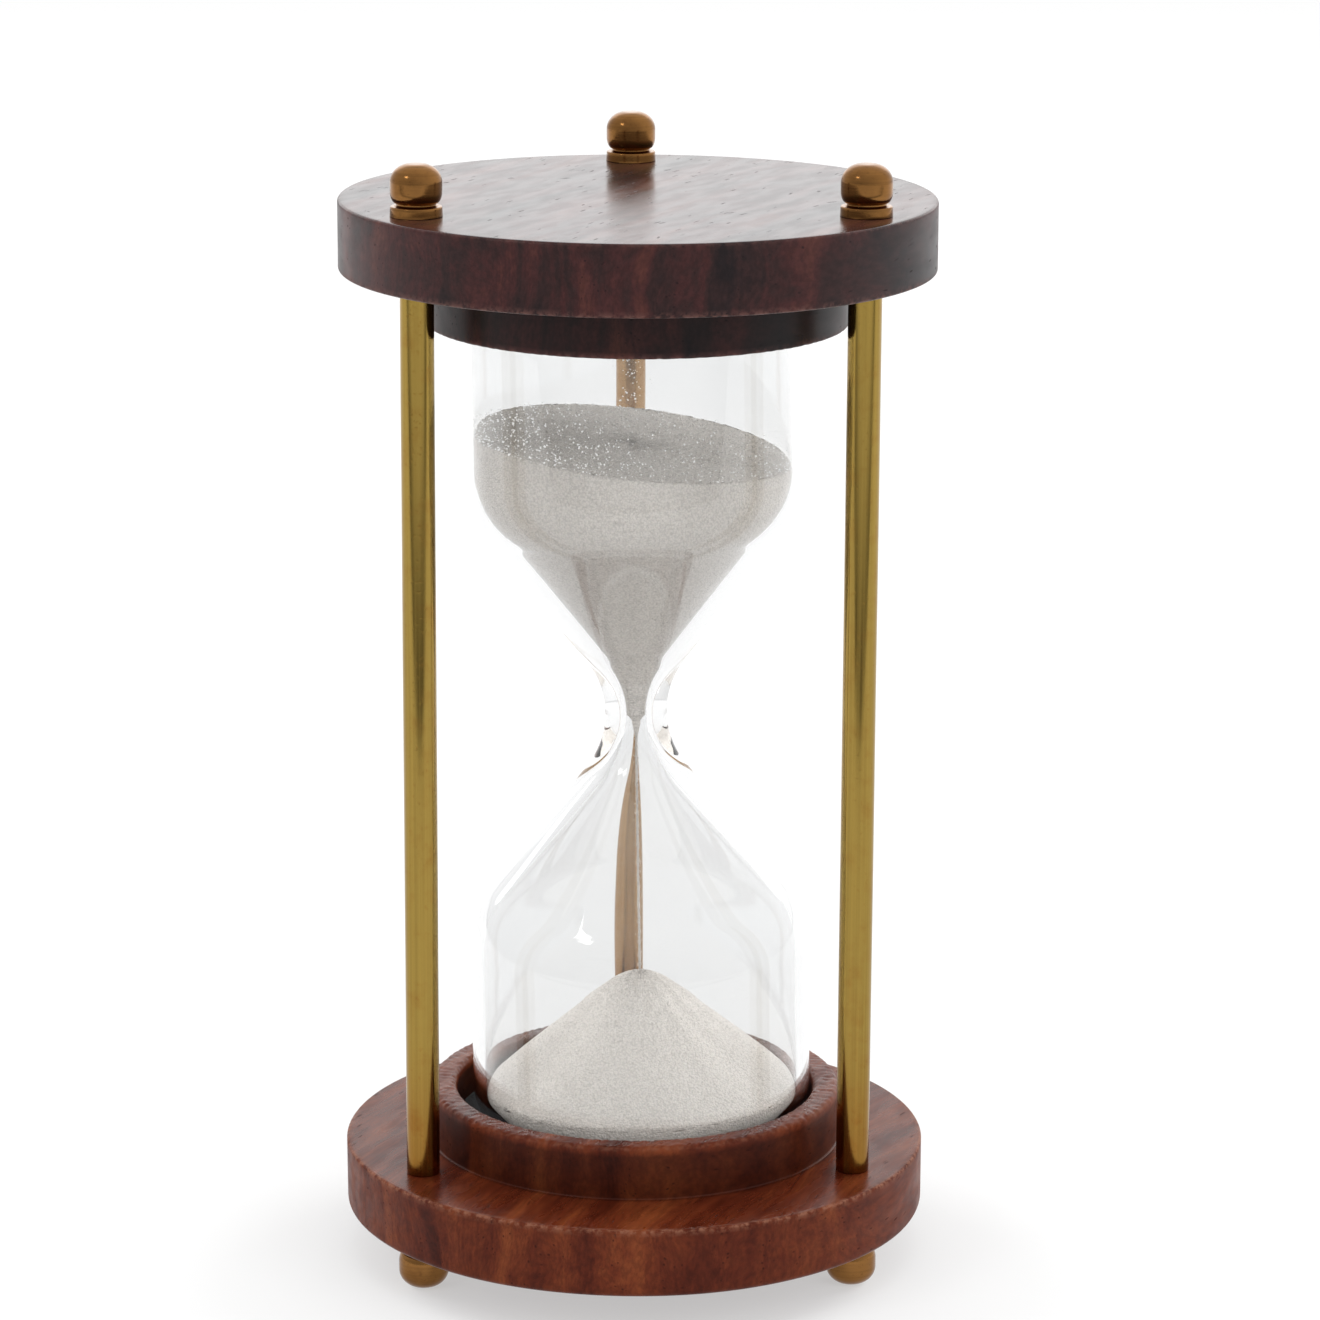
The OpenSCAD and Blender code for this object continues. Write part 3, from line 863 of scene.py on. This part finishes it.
def dark_cloth(name, near, far):
    """A matt cloth whose grey goes from near, at the card's edge, to far, in front of it. Rays that
    have been through glass don't meet it."""
    material, add = recipe(name)
    forward = add("SeparateXYZ", {}, {"Vector": add("TexCoord").outputs["Object"]}).outputs["Y"]
    grey = between(add, forward, card_edge, card_edge - card_fade, near, far)
    cloth = add("CombineColor", {}, {0: grey, 1: grey, 2: grey}).outputs[0]
    matt = add("BsdfDiffuse", {}, {"Color": cloth})
    through_glass = reckon(add, "GREATER_THAN", add("LightPath").outputs["Transmission Depth"], 0.5)
    clear = add("BsdfTransparent")
    both = add("MixShader", {}, {0: through_glass, 1: matt.outputs[0], 2: clear.outputs[0]})
    finish_with(add, both.outputs[0])
    return material


flat_card(
    "floor",
    [(-floor_reach, -floor_reach, 0), (floor_reach, -floor_reach, 0),
     (floor_reach, floor_reach, 0), (-floor_reach, floor_reach, 0)],
    opal("white_table", 0.37, 0.475),
)
dark = flat_card(
    "dark_card",
    [(-1.5, -2.5, 0.001), (1.5, -2.5, 0.001), (1.5, card_edge, 0.001), (-1.5, card_edge, 0.001)],
    dark_cloth("dark_cloth", 0.13, 0.62),
)
dark.visible_camera = False
dark.visible_diffuse = False
dark.visible_shadow = False

world = bpy.data.worlds.new("studio")
bpy.context.scene.world = world
world.use_nodes = True
room = world.node_tree
towards_light = room.nodes.new("ShaderNodeVectorMath")
towards_light.operation = "DOT_PRODUCT"
towards_light.inputs[1].default_value = brighter_towards
room.links.new(room.nodes.new("ShaderNodeTexCoord").outputs["Generated"], towards_light.inputs[0])
brightness = room.nodes.new("ShaderNodeMath")
brightness.operation = "ADD"
brightness.inputs[1].default_value = room_brightness
room.links.new(towards_light.outputs["Value"], brightness.inputs[0])
room.links.new(brightness.outputs[0], room.nodes["Background"].inputs["Strength"])
room.nodes["Background"].inputs["Color"].default_value = (1, 1, 1, 1)


def panel(name, width, height, at, towards, radiance, reflected=True):
    """A soft rectangular lamp whose face has this radiance, looking at a point. A lamp that is not
    reflected only fills the shadows."""
    lamp = bpy.data.lights.new(name, "AREA")
    lamp.shape = "RECTANGLE"
    lamp.size, lamp.size_y = width, height
    lamp.energy = radiance * np.pi * width * height
    holder = bpy.data.objects.new(name, lamp)
    bpy.context.scene.collection.objects.link(holder)
    holder.visible_glossy = holder.visible_transmission = reflected
    away = np.array(at, float) - np.array(towards, float)
    back = away / np.linalg.norm(away)
    side = np.cross([0, 0, 1] if abs(back[2]) < 0.99 else [0, 1, 0], back)
    side = side / np.linalg.norm(side)
    turn = np.array([side, np.cross(back, side), back]).T
    holder.matrix_world = Matrix.Translation(at) @ Matrix(turn.tolist()).to_4x4()


heart_of_it = (0, 0, 0.09)
panel("panel_behind", 3.2, 1.7, (0, 2.4, 1.15), heart_of_it, 0.70)
panel("glint_lamp", 0.20, 0.12, (-0.63, -0.49, 0.88), heart_of_it, 7.0)
panel("fill_over", 0.5, 0.3, (0.05, -0.55, 1.15), heart_of_it, 3.0, False)
panel("fill_left", 0.9, 0.8, (-1.0, -1.0, 0.72), heart_of_it, 2.5, False)
panel("fill_right", 0.9, 0.8, (1.0, -1.0, 0.72), heart_of_it, 3.0, False)
panel("rim_left", 0.9, 0.8, (-1.2, 0.9, 0.75), heart_of_it, 6.5, False)
panel("rim_right", 0.9, 0.8, (1.2, 0.9, 0.75), heart_of_it, 7.0, False)

scene = bpy.context.scene
scene.view_settings.view_transform = "Standard"

# --- Camera -----------------------------------------------------------------------------------------
# A long lens from in front and a little above, looking 14 degrees down.

camera = bpy.data.cameras.new("camera")
camera.sensor_width = 36
camera.lens = 132.2
camera.clip_start, camera.clip_end = 0.05, 50
viewer = bpy.data.objects.new("camera", camera)
scene.collection.objects.link(viewer)
look_down, roll = np.radians(14.06), np.radians(0.28)
viewer.matrix_world = (
    Matrix.Translation((0.0036, -0.7122, plate_base_low.z + 0.2639))
    @ Matrix.Rotation(np.pi / 2 - look_down, 4, "X")
    @ Matrix.Rotation(roll, 4, "Z")
)
scene.camera = viewer
